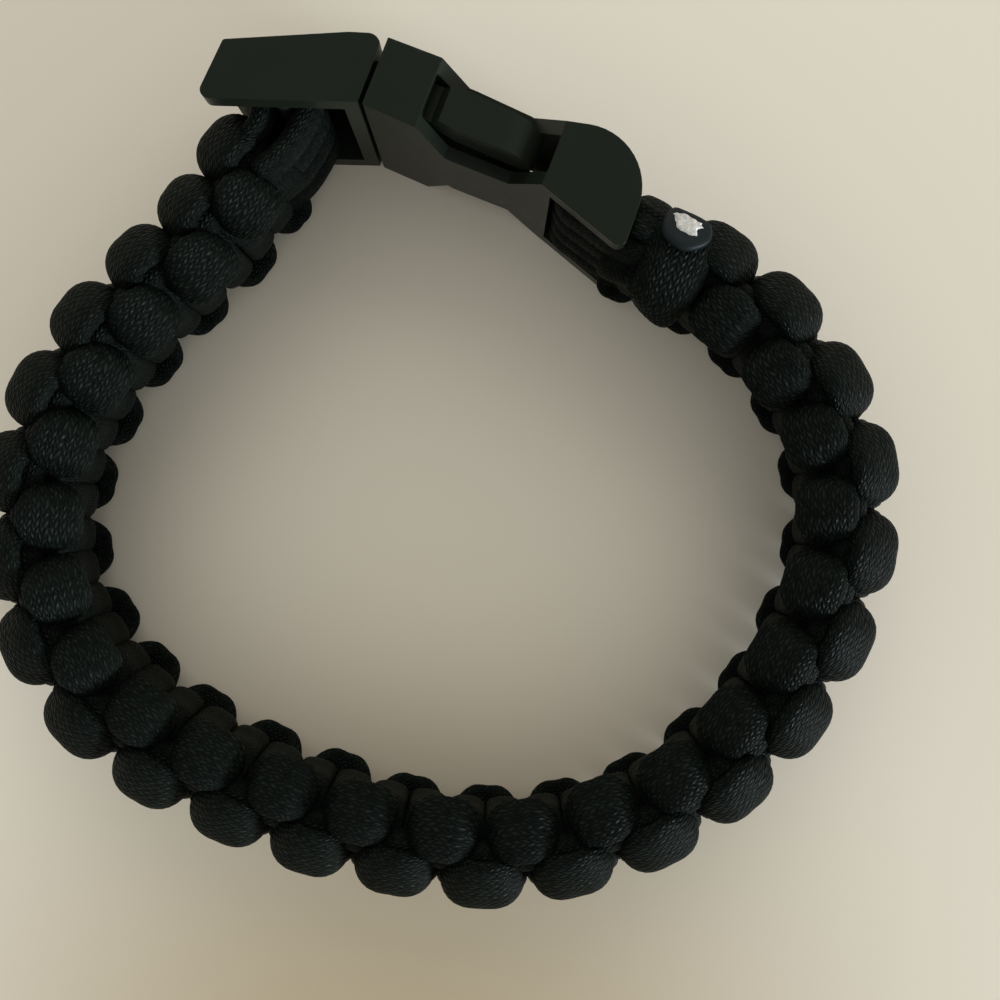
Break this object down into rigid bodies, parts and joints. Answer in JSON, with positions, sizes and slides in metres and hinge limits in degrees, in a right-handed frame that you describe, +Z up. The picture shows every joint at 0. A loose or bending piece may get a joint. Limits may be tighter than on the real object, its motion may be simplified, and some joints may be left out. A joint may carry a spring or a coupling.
{
  "type": "paracord bracelet",
  "caption": "Closed loop of knotted black paracord with a curved side-release buckle, lying on its edge.",
  "frame": {"origin": "on the table, below the middle of the whole loop's box", "axes": "+Z up from the table along the band's width, +Y towards the buckle, +X across the buckle from its prong half to its socket half"},
  "size_m": [0.0988, 0.0908, 0.0215],
  "materials": {
    "moulded_plastic": "satin moulded black plastic with polished edges",
    "braided_cord": "braided black nylon sheath with a fine diagonal plait",
    "melted_cord": "melted nylon, dull grey with a scuffed skin"
  },
  "bodies": {
    "root": {"prong_half": "moulded_plastic", "socket_half": "moulded_plastic", "woven_band": "braided_cord", "prong_cord_loop": "braided_cord", "socket_cord_loop": "braided_cord", "melted_end_top": "melted_cord", "melted_end_bottom": "melted_cord"}
  },
  "joints": []
}
